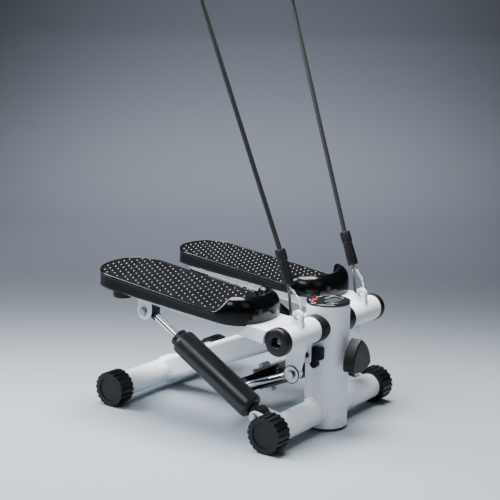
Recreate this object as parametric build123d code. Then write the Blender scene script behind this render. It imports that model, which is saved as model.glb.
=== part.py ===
"""Mini stepper with two pedal arms, hydraulic dampers, a rocker linkage and two resistance bands.

Millimetres. +X points forward, towards the column, +Y to the user's left and +Z up.
The origin is on the floor, under the middle of the machine.
Each piece is one node. Pieces that exist on both sides are made once for the left side
(+Y) and mirrored for the right side (-Y).
"""
from build123d import *
import math
import os

# ---------------------------------------------------------------- driving dimensions
# Base frame
base_length = 332.0         # between the axes of the two cross tubes
front_tube_x = 148.0        # axis of the front cross tube
tube_radius = 21.0          # round frame tube, outside
tube_wall = 2.0
front_half_width = 170.5    # to the outer face of a front foot cap
rear_half_width = 153.0
foot_radius = 29.6          # over the ribs' corners
foot_rib_depth = 2.0
foot_rib_count = 20
foot_rib_width = 5.7        # each rib is flat on top, and one lies level on the floor
foot_length = 30.0
foot_recess_radius = 20.3
foot_recess_depth = 1.6
foot_end_wall = 6.0
column_radius = 35.0
column_wall = 2.5
column_ahead = 2.5          # column axis ahead of the front cross tube axis
column_height = 205.0
column_clearance = 4.5      # column's lower edge above the floor
beam_width = 36.0
beam_height = 42.0
beam_rise = 144.36          # of the main beam's axis over the base length
beam_wall = 2.0

# Pedal arms
pivot_z = 170.0
axle_radius = 8.0
running_gap = 0.05          # radial, between the axle and the bushes
bush_wall = 10.6
bush_seat_gap = 0.35        # radial, between a bush and the pivot tube
bush_length = 16.0
pivot_tube_inner_y = 50.0
pivot_tube_outer_y = 141.0
cap_overhang = 4.5          # how far a pivot cap stands out of its tube
cap_rim = 1.2               # how far a pivot cap stands out past the tube's surface
cap_skirt = 9.0             # how far it reaches over the tube
cap_plug = 3.0
cap_edge = 3.0
cap_hole_radius = 9.0
collar_radius = 22.5
arm_inner_y = 58.0
arm_outer_y = 147.0
arm_rear_gap = 12.0         # the arm's rear end inside the pedal's
arm_corner = 38.0
arm_wall = 2.0
arm_drop_front = 22.0       # height of the arm where it meets the pivot tube
arm_drop_rear = 9.0

# Pedals
pedal_y = 103.0
pedal_half_width = 65.5
pedal_rear_x = -216.0
pedal_front_x = 108.0
pedal_front_top = 200.8     # height of the rim at the pedal's front end
pedal_top_slope = 0.12      # rise per millimetre towards the rear
pedal_front_bottom = 188.3
pedal_bottom_slope = 0.081
pedal_wall = 3.0
rim_width = 3.0
tread_depth = 1.0           # how far the tread lies under the rim
pedal_deck = 4.0
rib_spacing = 42.0
guard_start = 82.0          # length of the toe guard, from the front end
guard_rise = 21.5
guard_thickness = 20.0
bumper_radius = 17.5
bumper_x = -194.0
bumper_length = 24.0
bumper_edge = 3.0

# Rocker linkage
lug_x = 140.0               # bolt of the link lug under each pivot tube
lug_z = 104.0
lug_outer_y = 85.0
lug_thickness = 5.0
lug_radius = 13.0
link_y = 74.0
link_bolt_radius = 4.0
rocker_x = 35.0             # where the rocker's bolt crosses the line of the links
rocker_z = 60.0
rocker_bolt_radius = 5.0
rocker_bar_height = 26.0
rocker_shoulder = 62.0      # half length of the bar's deep part
rocker_hub_radius = 20.0
rocker_tip_half_width = 11.0
rocker_tip_top = -6.0       # top of the deep part's ends, from the middle of its height
tongue_thickness = 5.0
stud_length = 8.3           # free stud above the middle of the links
fork_gap = 0.4              # between the bar and each plate of its fork
fork_plate = 4.0
fork_width = 44.0
fork_web_at = 44.0          # from the rocker's bolt to the fork's web
link_rod_radius = 5.0
link_fitting = 0.8          # how far the fittings at its ends stand out
rod_end_radius = 10.0
rod_end_width = 9.0
stud_clearance = 3.2        # open pivot between the rocker's studs and the links

# Dampers
damper_y = 125.0
damper_foot_x = 108.5
damper_foot_z = 42.0
damper_head_x = -116.0
damper_head_z = 174.0
ear_thickness = 4.0
ear_radius = 13.5
foot_ear_radius = 9.5
ear_gap = 22.0              # between the two ears of a pivot
damper_bolt_radius = 4.0
damper_eye_radius = 13.0
damper_eye_clearance = 4.6  # open pivot at the arm's clevis
damper_tube_radius = 21.0
damper_tube_length = 166.0
damper_tube_start = 16.5    # from the foot pivot to the tube's lower end
damper_neck_radius = 15.0
damper_neck_length = 9.0
damper_rod_radius = 6.0
damper_rod_length = 160.0
damper_foot_radius = 14.0
piston_radius = 15.0
piston_length = 10.0
piston_gap = 0.4
side_gap = 0.4              # between a damper eye and each ear

# Column fittings
console_overhang = 0.4
console_height = 4.0
console_edge = 1.5
console_spigot = 12.0       # depth of the ring inside the column's top
console_spigot_wall = 2.5
button_radius = 5.0
button_lift = 1.2
button_behind = 17.0        # from the column's axis to the button
button_y = -14.0
button_gap = 0.4
button_travel = 1.0
button_edge = 0.8
well_floor = 0.8
knob_side = 23.3            # from the knob's axis to its three sides
knob_side_bow = 55.0        # radius of the sides
knob_thickness = 19.0
knob_boss = 6.0
knob_boss_radius = 12.0
knob_edge = 3.0
knob_face = 8.0             # solid front of the knob, before its screw's end
knob_round = 7.0
knob_front_x = 216.0
knob_z = 124.0
knob_turn = 5.0             # the apex leans this far to the right, degrees
screw_radius = 5.0
sensor_size = 20.0
sensor_depth = 9.0
sensor_ahead = 6.0          # of the column's axis
sensor_z = 131.0
sensor_lobe_radius = 6.5
sensor_lobe_z = 112.5
screw_inside = 14.0         # how far the screw reaches into the column

# Resistance bands
eye_y = 93.5
eye_ahead = 4.0             # of the pivot axis
eye_lift = 10.0             # hole centre above the pivot tube
eye_hole_radius = 4.5
eye_radius = 10.0
eye_thickness = 8.0
hook_wire = 1.7             # wire radius
hook_half_width = 15.5
hook_height = 50.0
hook_gap = 0.4              # between the wire and the eye's hole
sleeve_radius = 8.6
sleeve_length = 57.0
cord_radius = 3.7
cord_entry = 8.0            # how far the cord reaches into its sleeve and ferrule
band_length = 406.0         # cord, from the sleeve to the strap
band_lean = 0.353           # run to the rear for each millimetre of rise, hook and sleeve
cord_lean = 0.359
cord_spread = 0.0755        # run outwards for each millimetre of rise
strap_width = 24.0
strap_thick = 3.0
grip_radius = 15.0
grip_length = 112.0
handle_height = 66.0

# ---------------------------------------------------------------- derived places
rear_tube_x = front_tube_x - base_length
axis_z = math.sqrt(foot_radius ** 2 - (foot_rib_width / 2) ** 2)
column_x = front_tube_x + column_ahead
pivot_x = column_x
beam_dir = Vector(base_length, 0, beam_rise).normalized()
beam_up = Vector(-beam_dir.Z, 0, beam_dir.X)
damper_dir = Vector(damper_head_x - damper_foot_x, 0, damper_head_z - damper_foot_z)
damper_span = damper_dir.length
damper_dir = damper_dir.normalized()
pedal_length = pedal_front_x - pedal_rear_x
bush_bore = axle_radius + running_gap
bush_radius = bush_bore + bush_wall
pivot_tube_bore = bush_radius + bush_seat_gap
pivot_tube_radius = pivot_tube_bore + tube_wall
eye_z = pivot_z + pivot_tube_radius + eye_lift
band_dir = Vector(-band_lean, 0, 1).normalized()
cord_dir = Vector(-cord_lean, cord_spread, 1).normalized()


far = 400.0                 # well outside the machine in every direction

# ---------------------------------------------------------------- helpers
def rod(start, direction, length, radius, bore=0.0):
    """Round bar or tube from a point along a direction."""
    plane = Plane(origin=start, z_dir=direction)
    disc = Circle(radius)
    if bore:
        disc = disc - Circle(bore)
    return extrude(plane * disc, length)


def rod_y(x, z, y_from, y_to, radius, bore=0.0):
    """Round bar or tube along Y."""
    return rod(Vector(x, y_from, z), Vector(0, 1, 0), y_to - y_from, radius, bore)


def plate_y(outline, y_from, y_to):
    """Flat plate in the XZ plane: outline is a list of (x, z) points."""
    wire = Polyline(*[Vector(x, y_from, z) for x, z in outline], close=True)
    return extrude(make_face(wire), y_to - y_from, dir=(0, 1, 0))


def tab_y(x, z, radius, root, y_from, y_to, hole):
    """Rounded ear around a hole at (x, z), reaching back to the two root points (x, z)."""
    round_end = Location((x, y_from, z), (90, 0, 0)) * Circle(radius)
    round_end = extrude(round_end, y_to - y_from, dir=(0, 1, 0))
    (ax, az), (bx, bz) = root
    run = Vector((ax + bx) / 2 - x, 0, (az + bz) / 2 - z).normalized()
    side = Vector(-run.Z, 0, run.X) * radius
    if (Vector(ax - x, 0, az - z)).dot(side) < 0:
        side = side * -1
    body = plate_y([(ax, az), (bx, bz), (x - side.X, z - side.Z), (x + side.X, z + side.Z)],
                   y_from, y_to)
    return (body + round_end) - rod_y(x, z, y_from - 1, y_to + 1, hole)


def hex_bolt(x, z, y_from, y_to, radius, head_at_end, washer=0.0):
    """Hex bolt along Y; its head lies outside y_from or y_to. washer is the washer's radius."""
    shank = rod_y(x, z, y_from, y_to, radius)
    head_r, head_h, washer_h = radius * 1.75, radius * 1.2, 1.6
    edge = y_to if head_at_end else y_from
    way = 1 if head_at_end else -1
    pieces = shank
    if washer:
        low, high = sorted((edge, edge + way * washer_h))
        pieces += rod_y(x, z, low, high, washer)
        edge += way * washer_h
    hexagon = Location((x, edge, z), (90, 0, 0)) * RegularPolygon(head_r, 6)
    head = extrude(hexagon, head_h, dir=(0, way, 0))
    return pieces + fillet(head.edges().filter_by(GeomType.LINE).group_by(Axis.Y)[-1 if way > 0 else 0],
                           0.8)


def nut_y(x, z, y_from, y_to, radius):
    """Hex nut along Y around a bolt of that radius."""
    hexagon = Location((x, y_from, z), (90, 0, 0)) * RegularPolygon(radius * 1.75, 6)
    return extrude(hexagon, y_to - y_from, dir=(0, 1, 0)) - rod_y(x, z, y_from - 1, y_to + 1, radius)


def pedal_top(x):
    """Height of the pedal's rim."""
    return pedal_front_top + pedal_top_slope * (pedal_front_x - x)


def pedal_bottom(x):
    """Height of the pedal's lower edge, where it sits on the arm."""
    return pedal_front_bottom + pedal_bottom_slope * (pedal_front_x - x)


def arm_bottom(x):
    """Height of an arm's underside."""
    start = pedal_rear_x + arm_rear_gap
    share = (x - start) / (pivot_x - start)
    return pedal_bottom(x) - arm_drop_rear - (arm_drop_front - arm_drop_rear) * share


def pedal_outline(inset=0.0):
    """Plan of a pedal: straight sides, a round heel and a rounder toe."""
    half = pedal_half_width - inset
    heel, toe = 58.0 - inset, 54.0 - inset
    rear, front = pedal_rear_x + inset, pedal_front_x - inset
    low, high = pedal_y - half, pedal_y + half
    bulge = math.sqrt(0.5) * 1.06
    lines = Line((rear + heel, high), (front - toe, high))
    lines += Line((rear + heel, low), (front - toe, low))
    for end, reach, way in ((front, toe, 1), (rear, heel, -1)):
        centre = end - way * reach
        corner_x = centre + way * reach * bulge
        for side in (1, -1):
            corner_y = pedal_y + side * half * bulge
            start = (centre, pedal_y + side * half)
            lines += Spline(start, (corner_x, corner_y), (end, pedal_y),
                            tangents=((way, 0), (0, -side)))
    return make_face(lines)


def sloped_slab(outline, z_at):
    """The outline's column from the floor up to a plane that slopes along X, of height z_at(x)."""
    side = Polyline(Vector(-far, -far, 0), Vector(far, -far, 0), Vector(far, -far, z_at(far)),
                    Vector(-far, -far, z_at(-far)), close=True)
    under = extrude(make_face(side), 2 * far, dir=(0, 1, 0))
    return extrude(outline, 2 * far) & under


# ---------------------------------------------------------------- base frame
def cross_tube(x, half_width, cap_end):
    length = half_width - cap_end
    return rod_y(x, axis_z, -length, length, tube_radius, tube_radius - tube_wall)


def foot_cap(x, outer_y):
    """Ribbed end cap of a cross tube."""
    inner_y = outer_y - foot_length
    core_r = foot_radius - foot_rib_depth
    cap = rod_y(x, axis_z, inner_y, outer_y, core_r)
    rib_bar = Box(foot_rib_width, foot_length, 2 * axis_z)
    for k in range(foot_rib_count // 2):
        turned = Rot(0, 360 / foot_rib_count * k, 0) * rib_bar
        cap += Pos(x, (inner_y + outer_y) / 2, axis_z) * turned
    cap -= rod_y(x, axis_z, outer_y - foot_recess_depth, outer_y + 1, foot_recess_radius)
    return cap - rod_y(x, axis_z, inner_y - 1, outer_y - foot_end_wall, tube_radius)


def both(piece):
    """The piece and its mirror image across the middle plane, as one group."""
    return Compound(children=[piece, mirror(piece, Plane.XZ)])


def column():
    tube = Pos(column_x, 0, column_clearance) * extrude(
        Circle(column_radius) - Circle(column_radius - column_wall),
        column_height - column_clearance)
    tube -= rod_y(front_tube_x, axis_z, -60, 60, tube_radius)
    tube -= rod_y(pivot_x, pivot_z, -60, 60, axle_radius)
    return tube - rod(Vector(column_x, 0, knob_z), Vector(1, 0, 0), 60, screw_radius)


def main_beam():
    """Rounded rectangular tube, cut to sit on the rear cross tube and against the column."""
    start = Vector(rear_tube_x, 0, axis_z)
    length = (column_x - rear_tube_x) / beam_dir.X
    plane = Plane(origin=start, x_dir=Vector(0, 1, 0), z_dir=beam_dir)
    outside = plane * RectangleRounded(beam_width, beam_height, 8)
    inside = plane * RectangleRounded(beam_width - 2 * beam_wall, beam_height - 2 * beam_wall, 6)
    beam = extrude(outside, length) - extrude(inside, length)
    beam -= rod_y(rear_tube_x, axis_z, -60, 60, tube_radius)
    beam -= Pos(column_x, 0, 0) * extrude(Circle(column_radius), 400)
    return beam.solids().sort_by(SortBy.VOLUME)[-1]


def column_plug():
    plate = Pos(column_x, 0, column_clearance - 1.5) * extrude(Circle(column_radius), 1.5)
    spigot = Pos(column_x, 0, column_clearance) * extrude(
        Circle(column_radius - column_wall) - Circle(column_radius - column_wall - 2), 3.5)
    return plate + spigot


# ---------------------------------------------------------------- console, knob and sensor
def console_housing():
    radius = column_radius + console_overhang
    disc = Pos(column_x, 0, column_height) * extrude(Circle(radius), console_height)
    disc = fillet(disc.edges().group_by(Axis.Z)[-1], console_edge)
    inside = column_radius - column_wall
    spigot = Pos(column_x, 0, column_height - console_spigot) * extrude(
        Circle(inside) - Circle(inside - console_spigot_wall), console_spigot)
    well = Pos(column_x - button_behind, button_y, column_height + well_floor) * extrude(
        Circle(button_radius + button_gap), console_height)
    return disc + spigot - well


def console_button():
    low = column_height + well_floor + button_travel
    button = Pos(column_x - button_behind, button_y, low) * extrude(
        Circle(button_radius), column_height + console_height + button_lift - low)
    return fillet(button.edges().group_by(Axis.Z)[-1], button_edge)


def adjust_knob():
    """Three-cornered knob with bowed sides, one corner up."""
    back = knob_front_x - knob_thickness
    plane = Plane(origin=(back, 0, knob_z), x_dir=(0, 1, 0), z_dir=(1, 0, 0))
    outline = Circle(2 * knob_side_bow)
    for k in range(3):
        turn = math.radians(30 + knob_turn + 120 * k)
        shift = knob_side_bow - knob_side
        outline = outline & Pos(-shift * math.cos(turn), -shift * math.sin(turn)) * Circle(knob_side_bow)
    outline = fillet(outline.vertices(), knob_round)
    knob = extrude(plane * outline, knob_thickness)
    knob = fillet(knob.edges().group_by(Axis.X)[-1], knob_edge)
    knob += rod(Vector(back - knob_boss, 0, knob_z), Vector(1, 0, 0), knob_boss, knob_boss_radius)
    return knob - rod(Vector(back - knob_boss - 1, 0, knob_z), Vector(1, 0, 0),
                      knob_boss + knob_thickness + 1 - knob_face, screw_radius - running_gap)


def adjust_screw():
    """Threaded rod from the knob through the column's front wall."""
    start = column_x + column_radius - column_wall - screw_inside
    return rod(Vector(start, 0, knob_z), Vector(1, 0, 0), knob_front_x - knob_face - start,
               screw_radius - running_gap)


def sensor_block():
    """Step counter switch on the right side of the column."""
    face_y = -math.sqrt(column_radius ** 2 - (sensor_size / 2 - 1) ** 2)
    middle_y = face_y - sensor_depth / 2
    body = Pos(column_x + sensor_ahead, middle_y, sensor_z) * Box(sensor_size, sensor_depth, sensor_size)
    body = fillet(body.edges().filter_by(Axis.Y), 2)
    lobe_x = column_x + sensor_ahead - sensor_size / 2 + sensor_lobe_radius - 1
    lobe = rod_y(lobe_x, sensor_lobe_z, face_y - sensor_depth, face_y, sensor_lobe_radius)
    neck_height = sensor_z - sensor_lobe_z
    neck = Box(1.6 * sensor_lobe_radius, sensor_depth, neck_height)
    block = body + lobe + Pos(lobe_x, middle_y, sensor_lobe_z + neck_height / 2) * neck
    return block - Pos(column_x, 0, 0) * extrude(Circle(column_radius), 300)


# ---------------------------------------------------------------- pivot and arm
def axle():
    reach = pivot_tube_outer_y - 12
    return rod_y(pivot_x, pivot_z, -reach, reach, axle_radius)


def axle_screw():
    """Screw and washer that hold an arm on the axle's end."""
    y = pivot_tube_outer_y - 12
    screw = rod_y(pivot_x, pivot_z, y, y + 2, 11.5)
    hexagon = Location((pivot_x, y + 2, pivot_z), (90, 0, 0)) * RegularPolygon(7.5, 6)
    return screw + extrude(hexagon, 5.5, dir=(0, 1, 0))


def axle_collar():
    """Spacer between the column and an arm; its inner end is cut to the column's curve."""
    ring = rod_y(pivot_x, pivot_z, 20, pivot_tube_inner_y - 0.4, collar_radius, axle_radius)
    return ring - Pos(column_x, 0, 0) * extrude(Circle(column_radius), 400)


def pivot_tube():
    return rod_y(pivot_x, pivot_z, pivot_tube_inner_y, pivot_tube_outer_y,
                 pivot_tube_radius, pivot_tube_bore)


def pivot_bushes():
    ends = (pivot_tube_inner_y, pivot_tube_outer_y - 13 - bush_length)
    return Compound(children=[rod_y(pivot_x, pivot_z, y, y + bush_length,
                                    bush_radius, bush_bore) for y in ends])


def pivot_cap():
    end = pivot_tube_outer_y
    cap = rod_y(pivot_x, pivot_z, end, end + cap_overhang, pivot_tube_radius + cap_rim)
    cap = fillet(cap.edges().group_by(Axis.Y)[-1], cap_edge)
    cap += rod_y(pivot_x, pivot_z, end - cap_skirt, end,
                 pivot_tube_radius + cap_rim, pivot_tube_radius)
    cap += rod_y(pivot_x, pivot_z, end - cap_plug, end, pivot_tube_bore, pivot_tube_bore - cap_plug)
    return cap - rod_y(pivot_x, pivot_z, end - 5, end + cap_overhang + 1, cap_hole_radius)


def arm():
    """Sealed box of welded sheet that carries the pedal, tapered towards the heel."""
    hollow_end = pivot_x - pivot_tube_radius - 3
    inside = arm_box(arm_wall, hollow_end)
    shape = arm_box(0, pivot_x) - inside - rod_y(pivot_x, pivot_z, 40, 160, pivot_tube_radius)
    return shape - rod_y(pivot_x, pivot_z, pivot_tube_outer_y - cap_skirt - 0.2, 160,
                         pivot_tube_radius + cap_rim + 0.2)


def arm_box(inset, front):
    """The arm's outer form, or, with an inset, the space inside its sheet."""
    rear = pedal_rear_x + arm_rear_gap + inset
    block = plate_y([(rear, arm_bottom(rear) + inset), (front, arm_bottom(front) + inset),
                     (front, pedal_bottom(front) - inset), (rear, pedal_bottom(rear) - inset)],
                    arm_inner_y + inset, arm_outer_y - inset)
    return fillet(block.edges().filter_by(Axis.Z).group_by(Axis.X)[0], arm_corner - inset)


def link_lug():
    """Plates welded under the pivot tube: the outer one holds the link bolt, the inner one a magnet."""
    top_z = pivot_z - 10
    lug = tab_y(lug_x, lug_z, lug_radius, ((pivot_x - 19, top_z), (pivot_x + 16, top_z)),
                lug_outer_y - lug_thickness, lug_outer_y, link_bolt_radius)
    tab = Pos(column_x - 3, pivot_tube_inner_y + 3.5, pivot_z - 35) * Box(13, 3, 38)
    lug += fillet(tab.edges().filter_by(Axis.Y).group_by(Axis.Z)[0], 5)
    return lug - rod_y(pivot_x, pivot_z, 40, 160, pivot_tube_radius)


def band_eye():
    base = Pos(eye_x, eye_y, pivot_z + pivot_tube_radius - 2) * Box(22, eye_thickness, 8)
    ring = rod_y(eye_x, eye_z, eye_y - eye_thickness / 2, eye_y + eye_thickness / 2, eye_radius)
    block = Pos(eye_x, eye_y, eye_z - eye_lift / 2) * Box(2 * eye_radius, eye_thickness, eye_lift)
    eye = base + ring + block
    eye -= rod_y(eye_x, eye_z, eye_y - 20, eye_y + 20, eye_hole_radius)
    return eye - rod_y(pivot_x, pivot_z, 40, 160, pivot_tube_radius)


def damper_clevis():
    """Two ears under the arm, either side of the damper's eye."""
    top = damper_head_z + 26
    root = ((damper_head_x - ear_radius, top), (damper_head_x + ear_radius, top))
    return Compound(children=[ear - arm_box(0, pivot_x)
                              for ear in ear_pair(damper_head_x, damper_head_z, ear_radius, root)])


def ear_pair(x, z, radius, root):
    """Two ears around a damper pivot at (x, z)."""
    ears = []
    for side in (-1, 1):
        inner = damper_y + side * ear_gap / 2
        low, high = sorted((inner, inner + side * ear_thickness))
        ears.append(tab_y(x, z, radius, root, low, high, damper_bolt_radius))
    return ears


def clevis_bolt(x, z):
    """Bolt, washer and nut through a pair of ears."""
    outer = damper_y + ear_gap / 2 + ear_thickness
    inner = damper_y - ear_gap / 2 - ear_thickness
    bolt = hex_bolt(x, z, inner - 8, outer, damper_bolt_radius, True, washer=8)
    return Compound(children=[bolt, nut_y(x, z, inner - 6, inner, damper_bolt_radius)])


# ---------------------------------------------------------------- pedal
def pedal():
    """Moulded shell: a sunk tread inside a rim, a toe guard in front and ribs below."""
    block = sloped_slab(pedal_outline(), pedal_top) - sloped_slab(pedal_outline(-5), pedal_bottom)
    deck = pedal_deck
    hollow = sloped_slab(pedal_outline(pedal_wall), lambda x: pedal_top(x) - tread_depth - deck)
    rib_x = [pedal_rear_x + pedal_length * k / 6 for k in range(1, 6)]
    ribs = Pos(0, pedal_y - rib_spacing / 2, 200) * Box(900, pedal_wall, 200)
    ribs += Pos(0, pedal_y + rib_spacing / 2, 200) * Box(900, pedal_wall, 200)
    for x in rib_x:
        ribs += Pos(x, pedal_y, 200) * Box(pedal_wall, 2 * pedal_half_width, 200)
    tread = extrude(pedal_outline(rim_width), 600) - sloped_slab(
        pedal_outline(-5), lambda x: pedal_top(x) - tread_depth)
    return block - (hollow - ribs) - tread + toe_guard()


def toe_guard():
    """Raised wall round the pedal's front, rising in a hollow curve from the rim."""
    start = pedal_front_x - guard_start
    base, crest = pedal_top(start) - tread_depth - 1, pedal_top(start) + guard_rise
    rise_end = start + guard_start * 0.42
    curve = Spline(Vector(start, 0, pedal_top(start)), Vector(rise_end, 0, crest - 2),
                   tangents=(Vector(1, 0, 0.1), Vector(0.6, 0, 1)))
    lines = curve + Polyline(Vector(rise_end, 0, crest - 2), Vector(rise_end + 6, 0, crest),
                             Vector(pedal_front_x + 5, 0, crest - 4),
                             Vector(pedal_front_x + 5, 0, base - 14), Vector(start, 0, base),
                             Vector(start, 0, pedal_top(start)))
    side = extrude(make_face(lines), 300, dir=(0, 1, 0))
    ring = extrude(pedal_outline(), 600) - extrude(pedal_outline(guard_thickness), 600)
    above = ring - sloped_slab(pedal_outline(-5), lambda x: pedal_top(x) - tread_depth - pedal_deck)
    return above & side


def heel_bumper():
    """Rubber stop under the arm's rear end."""
    low = arm_bottom(bumper_x) - bumper_length
    disc = Pos(bumper_x, pedal_y) * Circle(bumper_radius)
    stop = sloped_slab(disc, arm_bottom) - extrude(disc, low)
    return fillet(stop.edges().group_by(Axis.Z)[0], bumper_edge)


# ---------------------------------------------------------------- rocker linkage
def along_beam(d, y, n):
    """A point given by its place along the beam, across it and square to it, from the rocker's bolt."""
    return Vector(rocker_x, 0, rocker_z) + beam_dir * d + Vector(0, y, 0) + beam_up * n


rocker_plane = Plane(origin=(rocker_x, 0, rocker_z), x_dir=beam_dir, z_dir=beam_up)


def rocker_slab(outline, low, high):
    """A plate square to the rocker's bolt, between two heights on it."""
    return extrude(rocker_plane.offset(low) * outline, high - low)


def rocker_bracket():
    """Fork welded to the column: the rocker turns between its two plates."""
    half = rocker_bar_height / 2 + fork_gap
    reach = (column_x - rocker_x) / beam_dir.X + 20
    outline = Pos(reach / 2, 0) * Rectangle(reach, fork_width) + Circle(fork_width / 2)
    hole = Circle(rocker_bolt_radius)
    fork = rocker_slab(outline - hole, half, half + fork_plate)
    fork += rocker_slab(outline - hole, -half - fork_plate, -half)
    fork += rocker_slab(Pos(fork_web_at + reach / 2, 0) * Rectangle(reach, fork_width), -half, half)
    fork -= Pos(column_x, 0, 0) * extrude(Circle(column_radius), 400)
    return fork.solids().sort_by(SortBy.VOLUME)[-1]


def rocker_bar():
    """Cross bar: a deep middle, arms that slope down, and a tongue with a stud at each end."""
    half = rocker_bar_height / 2
    end, hub, tip = rocker_shoulder, rocker_hub_radius, rocker_tip_half_width
    middle = Polyline((-hub, 0), (-tip, end), (tip, end), (hub, 0), (tip, -end), (-tip, -end),
                      close=True)
    bar = rocker_slab(make_face(middle) + Circle(hub), -half, half)
    across = Plane(origin=(rocker_x, 0, rocker_z), x_dir=(0, 1, 0), z_dir=-beam_dir)
    side = Polyline((-end, -half), (end, -half), (end, rocker_tip_top), (hub, half), (-hub, half),
                    (-end, rocker_tip_top), close=True)
    bar = bar & extrude(across * make_face(side), 2 * hub, both=True)
    tongue = Rectangle(22, 2 * link_y) + Pos(0, link_y) * Circle(11) + Pos(0, -link_y) * Circle(11)
    bar += rocker_slab(tongue, -half, -half + tongue_thickness)
    for side in (-1, 1):
        stud = rocker_slab(Pos(0, side * link_y) * Circle(link_bolt_radius), -half, stud_length)
        bar += stud + rocker_slab(Pos(0, side * link_y) * RegularPolygon(7, 6), stud_length,
                                  stud_length + 4)
    return bar - rocker_slab(Circle(rocker_bolt_radius + running_gap), -60, 60)


def rocker_bolt():
    """Pivot bolt with a domed head above and a nut below."""
    half = rocker_bar_height / 2 + fork_gap + fork_plate
    bolt = rocker_slab(Circle(rocker_bolt_radius), -half - 9, half)
    head = rocker_slab(Circle(9.5), half, half + 6)
    head = fillet(head.edges().filter_by(GeomType.CIRCLE).sort_by(Axis.Z)[-1], 4)
    nut = rocker_slab(RegularPolygon(9.2, 6) - Circle(rocker_bolt_radius), -half - 7, -half)
    return Compound(children=[bolt + head, nut])


def link_bolt():
    """Bolt and nut that hold a link on its lug, with a washer under the head."""
    inner = link_y - rod_end_width / 2
    bolt = hex_bolt(lug_x, lug_z, inner - 9, lug_outer_y, link_bolt_radius, True, washer=lug_radius)
    spacer = rod_y(lug_x, lug_z, link_y + rod_end_width / 2 + 0.1, lug_outer_y - lug_thickness,
                   6.5, link_bolt_radius)
    nut = nut_y(lug_x, lug_z, inner - 6.6, inner - 0.1, link_bolt_radius)
    return Compound(children=[bolt, spacer, nut])


def link_rod():
    """Rod with an eye on the lug bolt and an open eye round the rocker's stud."""
    front = Vector(lug_x, link_y, lug_z)
    rear = along_beam(0, link_y, 0)
    run = front - rear
    way = run.normalized()
    half = rod_end_width / 2
    stud_eye = link_bolt_radius + stud_clearance + 3.5
    bar = rod(rear + way * (stud_eye - 1), way, run.length - stud_eye - rod_end_radius + 2,
              link_rod_radius)
    for from_rear in (stud_eye + 5, run.length - rod_end_radius - 15):
        bar += rod(rear + way * from_rear, way, 15, link_rod_radius + link_fitting)
    bar += rod_y(lug_x, lug_z, link_y - half, link_y + half, rod_end_radius)
    bar += rod(rear - beam_up * half, beam_up, rod_end_width, stud_eye)
    bar -= rod_y(lug_x, lug_z, link_y - 20, link_y + 20, link_bolt_radius + running_gap)
    return bar - rod(rear - beam_up * 20, beam_up, 40, link_bolt_radius + stud_clearance)


# ---------------------------------------------------------------- dampers
def damper_point(distance):
    """A point on the damper's axis, measured from its foot pivot."""
    return Vector(damper_foot_x, damper_y, damper_foot_z) + damper_dir * distance


def damper_brackets():
    """Two ears behind the front cross tube that hold the damper's foot."""
    root = ((front_tube_x - 6, axis_z + 17), (front_tube_x - 6, axis_z - 9))
    cut = rod_y(front_tube_x, axis_z, 90, 160, tube_radius)
    return Compound(children=[ear - cut for ear in ear_pair(
        damper_foot_x, damper_foot_z, foot_ear_radius, root)])


def damper_tube():
    """Cylinder with its foot eye. The rod runs in the neck, its piston in the bore."""
    end = damper_tube_start + damper_tube_length
    tube = rod(damper_point(damper_tube_start), damper_dir, damper_tube_length, damper_tube_radius)
    tube = fillet(tube.edges().filter_by(GeomType.CIRCLE), 3)
    tube += rod(damper_point(end), damper_dir, damper_neck_length, damper_neck_radius)
    tube += rod(damper_point(6), damper_dir, damper_tube_start - 5, 9)
    half = ear_gap / 2 - side_gap
    tube += rod_y(damper_foot_x, damper_foot_z, damper_y - half, damper_y + half, damper_foot_radius)
    tube -= rod_y(damper_foot_x, damper_foot_z, 0, 200, damper_bolt_radius + running_gap)
    tube -= rod(damper_point(damper_tube_start + 8), damper_dir, damper_tube_length - 16,
                piston_radius + piston_gap)
    return tube - rod(damper_point(end - 20), damper_dir, 60, damper_rod_radius + running_gap)


def damper_rod():
    """Polished rod with its piston."""
    foot = damper_span - damper_eye_radius + 1 - damper_rod_length
    bar = rod(damper_point(foot), damper_dir, damper_rod_length, damper_rod_radius)
    return bar + rod(damper_point(foot), damper_dir, piston_length, piston_radius)


def damper_eye():
    """Eye on the rod's end, open round the clevis bolt."""
    half = ear_gap / 2 - side_gap
    eye = rod_y(damper_head_x, damper_head_z, damper_y - half, damper_y + half, damper_eye_radius)
    eye += rod(damper_point(damper_span - damper_eye_radius - 5), damper_dir, 9, 8)
    eye -= rod(damper_point(damper_span - 60), damper_dir, 61 - damper_eye_radius,
               damper_rod_radius)
    return eye - rod_y(damper_head_x, damper_head_z, 0, 200, damper_bolt_radius + damper_eye_clearance)


# ---------------------------------------------------------------- resistance bands
eye_x = pivot_x + eye_ahead
eye_centre = Vector(eye_x, eye_y, eye_z)
sleeve_foot = eye_centre + band_dir * hook_height
sleeve_top = sleeve_foot + band_dir * sleeve_length
cord_start = sleeve_top - cord_dir * cord_entry
cord_end = sleeve_top + cord_dir * band_length
grip_dir = (Vector(1, 0, 0) - cord_dir * Vector(1, 0, 0).dot(cord_dir)).normalized()
handle_plane = Plane(origin=cord_end, x_dir=grip_dir, z_dir=grip_dir.cross(cord_dir))


def band_hook():
    """Bent wire hook: its lower bar lies in the eye, one leg straight and one with a shoulder."""
    seat = eye_hole_radius - hook_wire - hook_gap
    points = [(-3, hook_height + 5), (-3, hook_height - 4), (-hook_half_width, seat),
              (hook_half_width, seat), (hook_half_width + 1, seat + 18), (3, hook_height - 4),
              (3, hook_height + 5)]
    route = [eye_centre + Vector(0, u, 0) + band_dir * w for u, w in points]
    path = FilletPolyline(*route, radius=[3, 3.5, 3.5, 4, 3])
    ring = Plane(origin=path @ 0, z_dir=path % 0) * Circle(hook_wire)
    return sweep(ring, path=path)


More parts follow.
